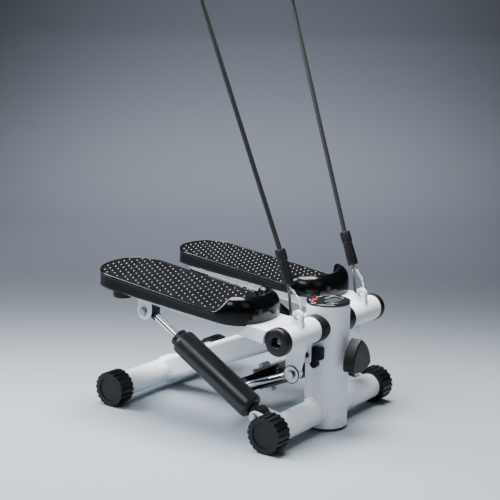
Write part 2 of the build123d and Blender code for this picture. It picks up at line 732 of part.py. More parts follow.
def band_sleeve():
    """Moulded grip sleeve between the hook and the cord."""
    body = rod(sleeve_foot, band_dir, sleeve_length, sleeve_radius)
    body = fillet(body.edges().filter_by(GeomType.CIRCLE), 2)
    body -= rod(sleeve_foot - band_dir, band_dir, 7.5, 3 + hook_wire + 0.3)
    return body - rod(sleeve_top - band_dir * cord_entry, band_dir, cord_entry + 1, cord_radius + 0.5)


def band_cord():
    return rod(cord_start, cord_dir, band_length + 2 * cord_entry, cord_radius)


def band_strap():
    """Webbing loop and ferrule that join the cord to the grip."""
    half, top = grip_length / 2 + 5, handle_height + strap_thick / 2
    outside = Polyline((-9, 12), (9, 12), (half, top - 18), (half, top), (-half, top),
                       (-half, top - 18), close=True)
    outside = fillet(make_face(outside).vertices(), 5)
    inside = offset(outside, -strap_thick)
    loop = extrude(handle_plane * (outside - inside), strap_width / 2, both=True)
    ferrule = rod(cord_end, cord_dir, 13, 8)
    return loop + ferrule - rod(cord_end - cord_dir, cord_dir, cord_entry + 1, cord_radius)


def band_grip():
    """Foam grip round the loop's straight side."""
    start = handle_plane.from_local_coords(Vector(-grip_length / 2, handle_height, 0))
    grip = rod(start, grip_dir, grip_length, grip_radius)
    grip = fillet(grip.edges().filter_by(GeomType.CIRCLE), 4)
    slot = Pos(0, handle_height) * Rectangle(2 * grip_length, strap_thick + 0.6)
    return grip - extrude(handle_plane * slot, strap_width / 2 + 0.4, both=True)


# ---------------------------------------------------------------- the nodes
middle_nodes = {
    "front_cross_tube": cross_tube(front_tube_x, front_half_width, foot_end_wall),
    "rear_cross_tube": cross_tube(rear_tube_x, rear_half_width, foot_end_wall),
    "column": column(),
    "main_beam": main_beam(),
    "front_foot_caps": both(foot_cap(front_tube_x, front_half_width)),
    "rear_foot_caps": both(foot_cap(rear_tube_x, rear_half_width)),
    "column_base_plug": column_plug(),
    "console_housing": console_housing(),
    "console_button": console_button(),
    "adjust_knob": adjust_knob(),
    "adjust_screw": adjust_screw(),
    "sensor_block": sensor_block(),
    "axle": axle(),
    "axle_end_screws": both(axle_screw()),
    "axle_collars": both(axle_collar()),
    "damper_brackets": both(damper_brackets()),
    "damper_foot_bolts": both(clevis_bolt(damper_foot_x, damper_foot_z)),
    "rocker_bracket": rocker_bracket(),
    "rocker_bar": rocker_bar(),
    "rocker_bolt": rocker_bolt(),
}
side_nodes = {
    "arm": arm(),
    "pivot_tube": pivot_tube(),
    "pivot_bushes": pivot_bushes(),
    "pivot_cap": pivot_cap(),
    "link_lug": link_lug(),
    "link_bolt": link_bolt(),
    "link_rod": link_rod(),
    "band_eye": band_eye(),
    "pedal": pedal(),
    "heel_bumper": heel_bumper(),
    "damper_clevis": damper_clevis(),
    "clevis_bolt": clevis_bolt(damper_head_x, damper_head_z),
    "damper_tube": damper_tube(),
    "damper_rod": damper_rod(),
    "damper_eye": damper_eye(),
    "band_sleeve": band_sleeve(),
    "band_cord": band_cord(),
    "band_strap": band_strap(),
    "band_grip": band_grip(),
}
os.makedirs("parts", exist_ok=True)
for name, shape in middle_nodes.items():
    export_step(shape, f"parts/{name}.step")
for name, shape in side_nodes.items():
    export_step(shape, f"parts/left_{name}.step")
    export_step(mirror(shape, Plane.XZ), f"parts/right_{name}.step")
# The two hooks are alike, not mirror images: both have their shoulder to the left.
export_step(band_hook(), "parts/left_band_hook.step")
export_step(Pos(0, -2 * eye_y, 0) * band_hook(), "parts/right_band_hook.step")
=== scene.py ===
# %% [markdown]
# # A mini stepper with two resistance bands
# The metal parts come ready made from the CAD model: tubes, arms, dampers, bolts and brackets.
# This lesson gives them their finishes, and makes in mesh code the pieces whose look depends on
# fine shape: the moulded pedals, the domed caps, the sleeves, hooks, cords and handles.

# %% Load the machine
import math
import bmesh
import bpy
from mathutils import Matrix, Vector


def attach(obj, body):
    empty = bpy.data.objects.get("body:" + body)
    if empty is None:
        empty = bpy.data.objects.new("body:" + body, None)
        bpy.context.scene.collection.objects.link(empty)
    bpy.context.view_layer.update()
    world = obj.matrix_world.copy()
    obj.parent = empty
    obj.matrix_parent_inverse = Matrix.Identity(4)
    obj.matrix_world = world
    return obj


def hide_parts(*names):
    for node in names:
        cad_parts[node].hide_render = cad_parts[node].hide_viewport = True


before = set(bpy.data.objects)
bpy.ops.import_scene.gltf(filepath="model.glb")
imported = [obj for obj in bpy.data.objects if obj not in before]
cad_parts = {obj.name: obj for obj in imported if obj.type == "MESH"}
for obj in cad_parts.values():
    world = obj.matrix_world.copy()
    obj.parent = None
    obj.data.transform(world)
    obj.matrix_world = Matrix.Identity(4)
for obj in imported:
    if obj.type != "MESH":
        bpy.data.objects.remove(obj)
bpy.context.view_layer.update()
MM = 0.001
SIDES = {"left": 1, "right": -1}

# %% [markdown]
# ## Camera
# A product shot like this is taken from a few metres away with a long lens, so upright edges stay
# nearly parallel. The camera's place and aim are set from three angles: which way it faces, how
# far it looks down, and a slight tilt. A matrix built from its own axes is exact, and a Track To
# constraint would be another way, but it can't hold the tilt.

# %% Place the camera
facing, down, tilt = (math.radians(a) for a in (36.17, 11.76, 0.76))
level_right = Vector((math.cos(facing), math.sin(facing), 0))
ahead = Vector((-math.sin(facing) * math.cos(down), math.cos(facing) * math.cos(down),
                -math.sin(down)))
level_up = level_right.cross(ahead)
camera_right = level_right * math.cos(tilt) + level_up * math.sin(tilt)
camera_up = level_up * math.cos(tilt) - level_right * math.sin(tilt)
camera = bpy.data.objects.new("camera", bpy.data.cameras.new("camera"))
bpy.context.scene.collection.objects.link(camera)
turn = Matrix((camera_right, camera_up, -ahead)).transposed().to_4x4()
camera.matrix_world = Matrix.Translation((1.1351, -1.5602, 0.6711)) @ turn
camera.data.lens = 85.86
camera.data.clip_start = 0.05
bpy.context.scene.camera = camera
print("camera at", tuple(round(v, 3) for v in camera.location))

# %% [markdown]
# ## Floor and light
# A studio sweep is one sheet that lies on the floor and curves up into the wall, so no line
# divides them. Its colour is painted shade: palest under the machine, darkest about 0.7 m behind
# it, lighter again up the wall, and darker towards the sides, where the light falls off. The light
# is soft: one broad box above, a second at the left for the long pale streaks in the gloss, a weak
# one at the near side, and a very weak one at the right. A dim world fills the shadows.

# %% Helpers for colours, nodes and materials
def linear(code, alpha=1.0):
    """An sRGB colour such as "#E6ECF2" as Blender's linear numbers."""
    parts = [int(code[i:i + 2], 16) / 255 for i in (1, 3, 5)]
    return [p / 12.92 if p <= 0.04045 else ((p + 0.055) / 1.055) ** 2.4 for p in parts] + [alpha]


def add(tree, kind, inputs=None, **settings):
    """Adds a shader node with its settings, and its inputs as numbers or as links."""
    node = tree.nodes.new("ShaderNode" + kind)
    for name, value in settings.items():
        setattr(node, name, value)
    for name, value in (inputs or {}).items():
        if isinstance(value, bpy.types.NodeSocket):
            tree.links.new(value, node.inputs[name])
        else:
            node.inputs[name].default_value = value
    return node


def finish_named(name, color, **shader_inputs):
    """A new material with one Principled shader. Returns the material, its tree and the shader."""
    material = bpy.data.materials.new(name)
    material.use_nodes = True
    shader = material.node_tree.nodes["Principled BSDF"]
    shader.inputs["Base Color"].default_value = linear(color)
    for socket, value in shader_inputs.items():
        shader.inputs[socket.replace("_", " ")].default_value = value
    return material, material.node_tree, shader


def per_metre(size_mm):
    """Texture scale for a pattern whose features are this many millimetres apart."""
    return 1000.0 / size_mm


# %% Floor, backdrop and lights
paper, paper_tree, paper_shader = finish_named("backdrop_paper_painted_shade", "#C3CDD6",
                                               Roughness=0.85)
paper_place = add(paper_tree, "TexCoord").outputs["Object"]
paper_axes = add(paper_tree, "SeparateXYZ", {"Vector": paper_place})
# The ramp's stops are painted shade: darkest about 0.7 m behind the machine, where the light falls
# off.
SWEEP_PAINTED_SHADES = ((0.0, "#8E989F"), (0.07, "#89939A"), (0.16, "#5A6167"), (0.25, "#363B40"),
                (0.38, "#3B404A"), (0.56, "#6A707B"), (0.75, "#868D98"), (0.96, "#616771"))
back_and_up = add(paper_tree, "Math", {0: paper_axes.outputs["Y"], 1: paper_axes.outputs["Z"]},
                  operation="ADD")
along_sweep = add(paper_tree, "MapRange", {"Value": back_and_up.outputs[0], "From Min": -0.2,
                                           "From Max": 3.4})
sweep_ramp = add(paper_tree, "ValToRGB", {"Fac": along_sweep.outputs["Result"]})
sweep_ramp.color_ramp.interpolation = "B_SPLINE"
for k, (place, shade) in enumerate(SWEEP_PAINTED_SHADES):
    stops = sweep_ramp.color_ramp.elements
    stop = stops[k] if k < 2 else stops.new(place)
    stop.position, stop.color = place, linear(shade)
SIDE_PAINTED_SHADE_SPAN = 0.70     # painted side shade: full one over this many metres to each side
sideways = add(paper_tree, "Math", {0: paper_axes.outputs["X"], 1: SIDE_PAINTED_SHADE_SPAN},
               operation="MULTIPLY")
sideways = add(paper_tree, "Math", {0: sideways.outputs[0], 1: 2.0}, operation="POWER",
               use_clamp=True)
# Painted shade: towards the sides the paper's colour goes to near black #1C1E22.
paper_shade = add(paper_tree, "Mix", {0: sideways.outputs[0], 6: sweep_ramp.outputs["Color"],
                                      7: linear("#1C1E22")}, data_type="RGBA")
paper_tree.links.new(paper_shade.outputs[2], paper_shader.inputs["Base Color"])
paper_fibre = add(paper_tree, "TexNoise", {"Vector": paper_place, "Scale": per_metre(6)})
paper_bump = add(paper_tree, "Bump", {"Height": paper_fibre.outputs["Fac"], "Strength": 0.05,
                                      "Distance": 0.0005})
paper_tree.links.new(paper_bump.outputs["Normal"], paper_shader.inputs["Normal"])

SHEET_FRONT, SHEET_BEND, BEND_RADIUS, SHEET_TOP, SHEET_HALF = -3.0, 1.7, 1.3, 5.0, 4.0
sweep_lines = [(SHEET_FRONT, 0.0)]
sweep_lines += [(SHEET_BEND + BEND_RADIUS * math.sin(a), BEND_RADIUS - BEND_RADIUS * math.cos(a))
                for a in (math.pi / 2 * k / 24 for k in range(25))]
sweep_lines += [(SHEET_BEND + BEND_RADIUS, SHEET_TOP)]
sweep = bmesh.new()
rows = []
for run, height in sweep_lines:
    rows.append([sweep.verts.new((side, run, height)) for side in (-SHEET_HALF, SHEET_HALF)])
for low, high in zip(rows, rows[1:]):
    sweep.faces.new((low[0], low[1], high[1], high[0]))
floor_mesh = bpy.data.meshes.new("studio_floor")
sweep.to_mesh(floor_mesh)
sweep.free()
floor = bpy.data.objects.new("studio_floor", floor_mesh)
floor.rotation_euler.z = facing
floor_mesh.materials.append(paper)
for face in floor_mesh.polygons:
    face.use_smooth = True
bpy.context.scene.collection.objects.link(floor)


def soft_box(name, place, target, size, power, tint):
    """A rectangular area light that faces the target."""
    lamp = bpy.data.lights.new(name, "AREA")
    lamp.shape = "RECTANGLE"
    lamp.size, lamp.size_y = size
    lamp.energy = power
    lamp.color = linear(tint)[:3]
    box = bpy.data.objects.new(name, lamp)
    box.location = place
    box.rotation_euler = (Vector(target) - Vector(place)).to_track_quat("-Z", "Y").to_euler()
    bpy.context.scene.collection.objects.link(box)


soft_box("top_box", (-0.15, 0.1, 1.9), (0, 0, 0.1), (1.3, 0.9), 135, "#FFFFFF")
soft_box("left_box", (-1.25, -0.60, 1.25), (0, 0, 0.15), (0.6, 1.1), 62, "#F6F9FF")
soft_box("near_box", (0.0, -1.35, 1.35), (0, 0, 0.12), (0.9, 0.5), 14, "#FBFCFF")
soft_box("right_box", (1.5, -0.3, 1.2), (0, 0, 0.15), (0.7, 1.0), 2, "#FFFFFF")
world = bpy.data.worlds.new("studio")
world.use_nodes = True
world.node_tree.nodes["Background"].inputs["Color"].default_value = linear("#B4BAC2")
world.node_tree.nodes["Background"].inputs["Strength"].default_value = 0.12
bpy.context.scene.world = world

# %% [markdown]
# ## The two band cords
# Each resistance band has an elastic core inside a braided polyester cover, about 7.4 mm thick.
# A hand pulls it tight, so it is one straight line from its sleeve to its handle. The cord is a
# curve with a round bevel, whose two inner points lie near the ends, where its direction is held.
# The sleeves and hooks share the same directions, so those are worked out here too.

# %% Directions and places of a band
EYE = Vector((154.5, 93.5, 201.0))
HOOK_HEIGHT, SLEEVE_LENGTH, CORD_ENTRY, BAND_LENGTH = 50.0, 57.0, 8.0, 406.0
CORD_RADIUS = 3.7
HELD_AT_SLEEVE, HELD_AT_STRAP = 53.0, 45.0     # lengths over which the cord's ends are held
band_way = Vector((-0.353, 0, 1)).normalized()
cord_way = Vector((-0.359, 0.0755, 1)).normalized()
sleeve_foot = EYE + band_way * HOOK_HEIGHT
sleeve_top = sleeve_foot + band_way * SLEEVE_LENGTH
cord_start = sleeve_top - cord_way * CORD_ENTRY
cord_end = sleeve_top + cord_way * BAND_LENGTH
cord_length = BAND_LENGTH + 2 * CORD_ENTRY


def on_side(point, sign):
    """A point of the left side in millimetres, moved to its own side, in metres."""
    return Vector((point[0], point[1] * sign, point[2])) * MM


def link_to_scene(name, data, body, replaced=()):
    """Puts a new piece in the scene, on its body, and hides the CAD nodes it replaces."""
    piece = bpy.data.objects.new(name, data)
    bpy.context.scene.collection.objects.link(piece)
    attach(piece, body)
    if replaced:
        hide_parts(*replaced)
    return piece


# %% Cords
cords = {}
for side, sign in SIDES.items():
    curve = bpy.data.curves.new(f"{side}_cord", "CURVE")
    curve.dimensions = "3D"
    curve.bevel_depth = 1.0
    curve.bevel_resolution = 6
    curve.use_fill_caps = True
    route = curve.splines.new("NURBS")
    stops = (0.0, HELD_AT_SLEEVE, cord_length - HELD_AT_STRAP, cord_length)
    route.points.add(len(stops) - 1)
    for point, along in zip(route.points, stops):
        point.co = (*on_side(cord_start + cord_way * along, sign), 1.0)
        point.radius = CORD_RADIUS * MM
    route.order_u = 3
    route.use_endpoint_u = True
    route.resolution_u = 24
    cords[side] = link_to_scene(f"{side}_cord", curve, f"{side}_band",
                                [f"{side}_band_cord"])
print("cord length", cord_length, "mm")

# %% [markdown]
# ## Finishes: metals
# The frame is steel tube under a cool white powder coat. Powder melts into a skin with a faint
# orange peel, about 2 mm from hump to hump, and picks up slight dirt that changes its roughness.
# Noise gives both, since neither repeats. The dampers and the rocker have a thinner black enamel.
# Chrome and zinc are bare metals: chrome is nearly a mirror, zinc plate is greyer and cloudy.

# %% Coats and plated metals
def object_place(tree):
    """The place on the piece in metres, for patterns that are sized in millimetres."""
    return add(tree, "TexCoord").outputs["Object"]


def vary_roughness(tree, shader, place, spot_mm, low, high):
    """Soft patches of smoother and rougher surface, of the given size."""
    patches = add(tree, "TexNoise", {"Vector": place, "Scale": per_metre(spot_mm), "Detail": 5.0,
                                     "Roughness": 0.62})
    spread = add(tree, "MapRange", {"Value": patches.outputs["Fac"], "From Min": 0.3,
                                    "From Max": 0.7, "To Min": low, "To Max": high})
    tree.links.new(spread.outputs["Result"], shader.inputs["Roughness"])
    return patches.outputs["Fac"]


def add_bump(tree, shader, height, strength, depth_mm):
    """Joins a height pattern to the shader as bump of that depth."""
    bump = add(tree, "Bump", {"Height": height, "Strength": strength, "Distance": depth_mm * MM})
    tree.links.new(bump.outputs["Normal"], shader.inputs["Normal"])


def tint_between(tree, shader, factor, dark, light):
    """The base colour drifts between two close shades."""
    drift = add(tree, "Mix", {0: factor, 6: linear(dark), 7: linear(light)}, data_type="RGBA")
    tree.links.new(drift.outputs[2], shader.inputs["Base Color"])


def peel_coat(name, dark, light, roughness, peel_mm, coat):
    """Paint over steel: faint orange peel, patches of roughness, a slight drift of shade."""
    coat_material, tree, shader = finish_named(name, light, IOR=1.5, Coat_Weight=coat,
                                               Coat_Roughness=0.08)
    place = object_place(tree)
    patches = vary_roughness(tree, shader, place, 35, roughness - 0.05, roughness + 0.07)
    tint_between(tree, shader, patches, dark, light)
    peel = add(tree, "TexNoise", {"Vector": place, "Scale": per_metre(peel_mm), "Detail": 1.5})
    add_bump(tree, shader, peel.outputs["Fac"], 0.12, 0.12)
    return coat_material


def bare_metal(name, dark, light, roughness, cloud_mm, grain_mm, grain):
    """Plated steel: cloudy patches and fine grain."""
    metal, tree, shader = finish_named(name, light, Metallic=1.0)
    place = object_place(tree)
    clouds = vary_roughness(tree, shader, place, cloud_mm, roughness * 0.75, roughness * 1.35)
    tint_between(tree, shader, clouds, dark, light)
    scratches = add(tree, "TexNoise", {"Vector": place, "Scale": per_metre(grain_mm),
                                       "Detail": 4.0})
    add_bump(tree, shader, scratches.outputs["Fac"], grain, 0.05)
    return metal


white_powder_coat = peel_coat("white_powder_coat", "#E6EAF1", "#F1F4F9", 0.30, 2.2, 0.15)
black_enamel = peel_coat("black_enamel", "#060708", "#0C0D0F", 0.20, 1.6, 0.35)
satin_enamel = peel_coat("satin_black_enamel", "#07080A", "#0D0F11", 0.36, 1.6, 0.0)
chrome_plate = bare_metal("chrome_plate", "#D5D9DD", "#E6E9EB", 0.09, 20, 1.2, 0.03)
zinc_plate = bare_metal("zinc_plate", "#9EA3A8", "#C4C8CC", 0.30, 6, 0.5, 0.12)
spring_steel = bare_metal("nickelled_spring_wire", "#B4B8BC", "#DADDE0", 0.13, 8, 0.4, 0.06)

# %% [markdown]
# ## Finishes: plastics and rubber
# The caps, knob and switch are ABS from a mould whose walls were spark eroded, which leaves a dense
# grain of about 0.3 mm. It is drawn at 0.7 mm so that it shows. The pedals are glossy
# polypropylene. Rubber foot caps and bumpers are duller, with soft pits. Voronoi cells look like
# spark grain because each pit is a small dent of its own. The blackest of them have a lower
# specular level, which keeps them black under broad lights.

# %% Moulded plastics and rubber
def moulded(name, dark, light, roughness, grain_mm, grain, **sockets):
    """A moulded surface: pits of the mould's texture, patches of gloss, a drift of shade."""
    plastic, tree, shader = finish_named(name, light, **sockets)
    place = object_place(tree)
    patches = vary_roughness(tree, shader, place, 28, roughness - 0.05, roughness + 0.08)
    tint_between(tree, shader, patches, dark, light)
    pits = add(tree, "TexVoronoi", {"Vector": place, "Scale": per_metre(grain_mm)})
    add_bump(tree, shader, pits.outputs["Distance"], grain, 0.12)
    return plastic


textured_abs = moulded("black_textured_abs", "#070809", "#0D0E10", 0.38, 0.7, 0.25, IOR=1.53,
                       Specular_IOR_Level=0.3)
glossy_polypropylene = moulded("black_glossy_polypropylene", "#030304", "#060708", 0.17, 3.0, 0.008,
                               IOR=1.49, Specular_IOR_Level=0.25)
satin_tread = moulded("satin_tread_polypropylene", "#030304", "#050506", 0.38, 0.9, 0.10, IOR=1.49,
                      Specular_IOR_Level=0.2)
stud_plastic = moulded("pale_tread_studs", "#9AA1A8", "#B9BFC5", 0.34, 0.6, 0.10, IOR=1.49)
gloss_abs = moulded("black_gloss_abs", "#060708", "#0B0C0D", 0.10, 2.0, 0.03, IOR=1.53,
                    Coat_Weight=0.6, Coat_Roughness=0.04)
foot_rubber = moulded("black_foot_rubber", "#060708", "#0B0C0D", 0.46, 1.0, 0.30, IOR=1.52,
                      Specular_IOR_Level=0.3)
sleeve_rubber = moulded("black_sleeve_rubber", "#0B0C0D", "#141516", 0.36, 1.2, 0.12, IOR=1.52)
bush_nylon = moulded("cream_nylon", "#D6D2C6", "#E5E2D8", 0.35, 1.5, 0.08, IOR=1.53)
red_button_plastic = moulded("red_button_plastic", "#B3140E", "#D42218", 0.20, 2.0, 0.03,
                             IOR=1.53, Coat_Weight=0.5)
pale_ink = moulded("pale_screen_printed_ink", "#A9B2B8", "#C3CACF", 0.40, 0.8, 0.05, IOR=1.5)
window_plastic = moulded("grey_window_acrylic", "#39403F", "#454D4B", 0.08, 3.0, 0.02,
                         IOR=1.49, Coat_Weight=0.8, Coat_Roughness=0.03)

# %% [markdown]
# ## Finishes: braid, webbing and foam
# The cord's cover is braided from flat bundles that cross at about 45 degrees. On a curve the UV
# map runs along it and round it, so two slanted waves, one per direction, give the crossing
# bundles without any unwrapping. The strap is a plain weave: two sets of ribs at right angles.
# The grip is closed-cell foam, whose skin shows small round dimples.

# %% Braided, woven and foamed materials
def slanted_wave(tree, across, along, turns, rows):
    """A wave that climbs round and along a tube: turns once round it, rows over its length."""
    around = add(tree, "Math", {0: across, 1: float(turns)}, operation="MULTIPLY")
    upward = add(tree, "Math", {0: along, 1: float(rows)}, operation="MULTIPLY")
    phase = add(tree, "Math", {0: around.outputs[0], 1: upward.outputs[0]}, operation="ADD")
    radians = add(tree, "Math", {0: phase.outputs[0], 1: 2 * math.pi}, operation="MULTIPLY")
    wave = add(tree, "Math", {0: radians.outputs[0]}, operation="SINE")
    return wave.outputs[0]


cord_braid, braid_tree, braid_shader = finish_named("braided_polyester_cover", "#08090A",
                                                    Roughness=0.60, Sheen_Weight=0.04,
                                                    Sheen_Roughness=0.4)
braid_uv = add(braid_tree, "SeparateXYZ", {"Vector": add(braid_tree, "TexCoord").outputs["UV"]})
BUNDLE_PITCH, BUNDLES_AROUND = 5.8, 4
bundle_rows = cord_length / BUNDLE_PITCH
braid_left, braid_right = (
    slanted_wave(braid_tree, braid_uv.outputs["Y"], braid_uv.outputs["X"], turns, bundle_rows)
    for turns in (BUNDLES_AROUND, -BUNDLES_AROUND))
braid_height = add(braid_tree, "Math", {0: braid_left, 1: braid_right}, operation="MAXIMUM")
# Painted shade and highlight: the colour is darker in the grooves between bundles and lighter on
# their crests, by the same height as the bump.
braid_shade = add(braid_tree, "Math", {0: braid_height.outputs[0], 1: 0.5}, operation="MULTIPLY")
tint_between(braid_tree, braid_shader, braid_shade.outputs[0], "#060708", "#1C1E20")
add_bump(braid_tree, braid_shader, braid_height.outputs[0], 0.55, 0.35)


def woven(name, dark, light, rib_mm):
    """Plain weave webbing with a slight sheen. A wave repeats every 2 pi, so ribs lie 6.3 rib_mm
    apart, which is coarser than real webbing."""
    weave, tree, shader = finish_named(name, dark, Roughness=0.7, Sheen_Weight=0.05)
    place = object_place(tree)
    ribs = add(tree, "TexWave", {"Vector": place, "Scale": per_metre(rib_mm) / 20,
                                 "Distortion": 0.6}, bands_direction="Z")
    threads = add(tree, "TexWave", {"Vector": place, "Scale": per_metre(rib_mm * 0.6) / 20,
                                    "Distortion": 0.5}, bands_direction="Y")
    mixed = add(tree, "Math", {0: ribs.outputs["Fac"], 1: threads.outputs["Fac"]},
                operation="MULTIPLY")
    # Painted shade and highlight: the webbing is darker where ribs and threads dip and lighter on
    # their crests, by the same height as the bump.
    tint_between(tree, shader, mixed.outputs[0], dark, light)
    add_bump(tree, shader, mixed.outputs[0], 0.5, 0.4)
    return weave


nylon_webbing = woven("woven_nylon_webbing", "#08090A", "#17191B", 1.6)
grip_foam = moulded("closed_cell_grip_foam", "#08090A", "#101113", 0.74, 1.8, 0.4, IOR=1.45,
                    Specular_IOR_Level=0.3, Sheen_Weight=0.04)

# %% [markdown]
# ## Finishes on the CAD pieces
# Most CAD pieces keep their shape and only get a finish. A table from material to node names
# keeps this in one place, and one loop puts each material on its nodes.

# %% Give the CAD pieces their finishes
sided = {
    white_powder_coat: ["arm", "pivot_tube", "link_lug", "band_eye", "damper_clevis"],
    black_enamel: ["damper_tube"],
    chrome_plate: ["damper_rod", "link_rod"],
    zinc_plate: ["link_bolt", "clevis_bolt"],
    textured_abs: ["damper_eye"],
    foot_rubber: ["heel_bumper"],
    bush_nylon: ["pivot_bushes"],
}
single = {
    white_powder_coat: ["front_cross_tube", "rear_cross_tube", "column", "main_beam",
                        "damper_brackets"],
    black_enamel: ["rocker_bracket", "rocker_bar"],
    zinc_plate: ["adjust_screw", "axle", "axle_end_screws", "damper_foot_bolts", "rocker_bolt"],
    textured_abs: ["column_base_plug", "adjust_knob", "sensor_block", "axle_collars"],
    gloss_abs: ["console_housing"],
    foot_rubber: ["front_foot_caps", "rear_foot_caps"],
}
for material, names in sided.items():
    single[material] = single.get(material, []) + [f"{s}_{n}" for s in SIDES for n in names]
for material, names in single.items():
    for name in names:
        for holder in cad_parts[name].material_slots:
            holder.material = material
print("finished CAD nodes:", sum(len(names) for names in single.values()))

# %% [markdown]
# ## Shapes made by turning
# Caps, sleeves and seals are round about one axis, as if turned on a lathe. A turned mesh needs
# only a profile: pairs of height and radius. Screw modifiers do the same, but a few lines of bmesh
# keep the ends closed and let one function serve every piece.

# %% Turned pieces
def frame_along(axis):
    """Two directions square to an axis."""
    axis = Vector(axis).normalized()
    across = axis.cross(Vector((0, 0, 1)) if abs(axis.z) < 0.9 else Vector((1, 0, 0))).normalized()
    return axis, across, axis.cross(across)


def stitch(bm, rings, close_start=True, close_end=True, loop=True):
    """Faces between rings of vertices, with flat ends if asked."""
    for low, high in zip(rings, rings[1:]):
        count = len(low)
        for i in range(count if loop else count - 1):
            j = (i + 1) % count
            bm.faces.new((low[i], low[j], high[j], high[i]))
    if close_start:
        bm.faces.new(list(reversed(rings[0])))
    if close_end:
        bm.faces.new(rings[-1])


def turn_profile(bm, start, axis, profile, steps=48, bored=False):
    """Adds a turned body. Profile is (height, radius) pairs in mm; a bored one closes on itself."""
    axis, across, other = frame_along(axis)
    rings = []
    for height, radius in profile + (profile[:1] if bored else []):
        rings.append([bm.verts.new((start + axis * height + (across * math.cos(a)
                                                             + other * math.sin(a)) * radius) * MM)
                      for a in (2 * math.pi * k / steps for k in range(steps))])
    stitch(bm, rings, not bored, not bored)


def mesh_from(bm, name, materials, smooth_angle):
    """Finishes a bmesh: outward faces, smooth shading with hard edges kept, and its materials."""
    bmesh.ops.remove_doubles(bm, verts=bm.verts, dist=1e-6)
    bmesh.ops.recalc_face_normals(bm, faces=bm.faces)
    for face in bm.faces:
        face.smooth = True
    for edge in bm.edges:
        if len(edge.link_faces) == 2:
            edge.smooth = edge.calc_face_angle() < math.radians(smooth_angle)
    mesh = bpy.data.meshes.new(name)
    bm.to_mesh(mesh)
    bm.free()
    for material in materials:
        mesh.materials.append(material)
    return mesh


def add_piece(name, bm, sign, materials, body, replaced=(), smooth_angle=38.0):
    """Makes a shape a piece. A sign of -1 moves it from the left side to the right one."""
    for vert in bm.verts:
        vert.co.y *= sign
    mesh = mesh_from(bm, name, materials, smooth_angle)
    return link_to_scene(name, mesh, body, replaced)


# %% [markdown]
# ## Pivot caps
# A domed ABS cap closes each pivot tube. Its middle is open, and the end screw sits in the hole.
# The dome is a quarter ellipse with a small step at its rim.

# %% Domed pivot caps
PIVOT = Vector((150.5, 0, 170.0))
TUBE_END = 141.0
cap_profile = [(-3.0, 15.9), (-3.0, 18.9), (-0.4, 18.9), (-0.4, 21.05), (-9.0, 21.05),
               (-9.0, 21.9), (-8.4, 22.2), (0.2, 22.2), (0.9, 21.6), (1.3, 21.7), (2.0, 21.5),
               (3.0, 20.4), (3.9, 18.2), (4.4, 15.0), (4.5, 11.0), (4.2, 9.0), (3.4, 8.2),
               (2.0, 7.8), (-3.0, 7.8)]
for side, sign in SIDES.items():
    cap = bmesh.new()
    turn_profile(cap, PIVOT + Vector((0, TUBE_END, 0)), (0, 1, 0), cap_profile, 64, bored=True)
    add_piece(f"{side}_domed_cap", cap, sign, [textured_abs], f"{side}_arm",
              [f"{side}_pivot_cap"])
print("caps stand out", max(height for height, _ in cap_profile), "mm")

# %% [markdown]
# ## Band sleeves
# A moulded rubber sleeve joins each hook to its cord. It is slightly fuller at the foot, and a
# collar with a fine groove holds the cord at the top.

# %% Sleeves
sleeve_profile = [(0, 5.2), (0, 7.4), (1.2, 8.3), (4, 8.6), (14, 8.5), (30, 7.9), (36.4, 7.7),
                  (37.2, 7.0), (38.0, 7.7), (38.8, 8.5), (46, 8.6), (54, 8.4), (56.2, 7.8),
                  (57, 6.6), (57, 4.2), (49, 4.2), (49, 1.5), (7, 1.5), (7, 5.2)]
for side, sign in SIDES.items():
    sleeve = bmesh.new()
    turn_profile(sleeve, sleeve_foot, band_way, sleeve_profile, 48, bored=True)
    add_piece(f"{side}_sleeve", sleeve, sign, [sleeve_rubber], f"{side}_band",
              [f"{side}_band_sleeve"])

# %% [markdown]
# ## Wire hooks
# Each hook is bent steel wire: a bar through the eye, a leg of two wires side by side, and a leg
# wound with a finer spring wire. Wire is a curve with a round bevel: a poly spline with small
# rounded corners holds the bends, and a helix sampled round the second leg gives the spring.

# %% Hooks with their springs
HOOK_WIRE, SPRING_WIRE = 1.35, 0.5
HOOK_SEAT = 4.5 - HOOK_WIRE - 0.4     # how far above the eye's middle the bar lies
HOOK_BEND = 5.0
COIL_TURNS, COIL_STEPS = 9, 14     # turns on each straight run, and points in each turn


def rounded_route(corners, radius, steps=7):
    """Points along straight runs whose corners are rounded off."""
    route = [corners[0]]
    for before, corner, after in zip(corners, corners[1:], corners[2:]):
        back, on = (before - corner), (after - corner)
        reach = min(radius, back.length * 0.45, on.length * 0.45)
        start, stop = corner + back.normalized() * reach, corner + on.normalized() * reach
        for k in range(steps + 1):
            t = k / steps
            route.append(start * (1 - t) ** 2 + corner * (2 * t * (1 - t)) + stop * t ** 2)
    return route + [corners[-1]]


def wire_curve(name, routes, material):
    """A curve of round wires, each a (points in metres, radius in mm) pair."""
    curve = bpy.data.curves.new(name, "CURVE")
    curve.dimensions = "3D"
    curve.bevel_depth = MM
    curve.bevel_resolution = 4
    curve.use_fill_caps = True
    for points, radius in routes:
        spline = curve.splines.new("POLY")
        spline.points.add(len(points) - 1)
        for place, point in zip(spline.points, points):
            place.co = (*point, 1.0)
            place.radius = radius
    curve.materials.append(material)
    return curve


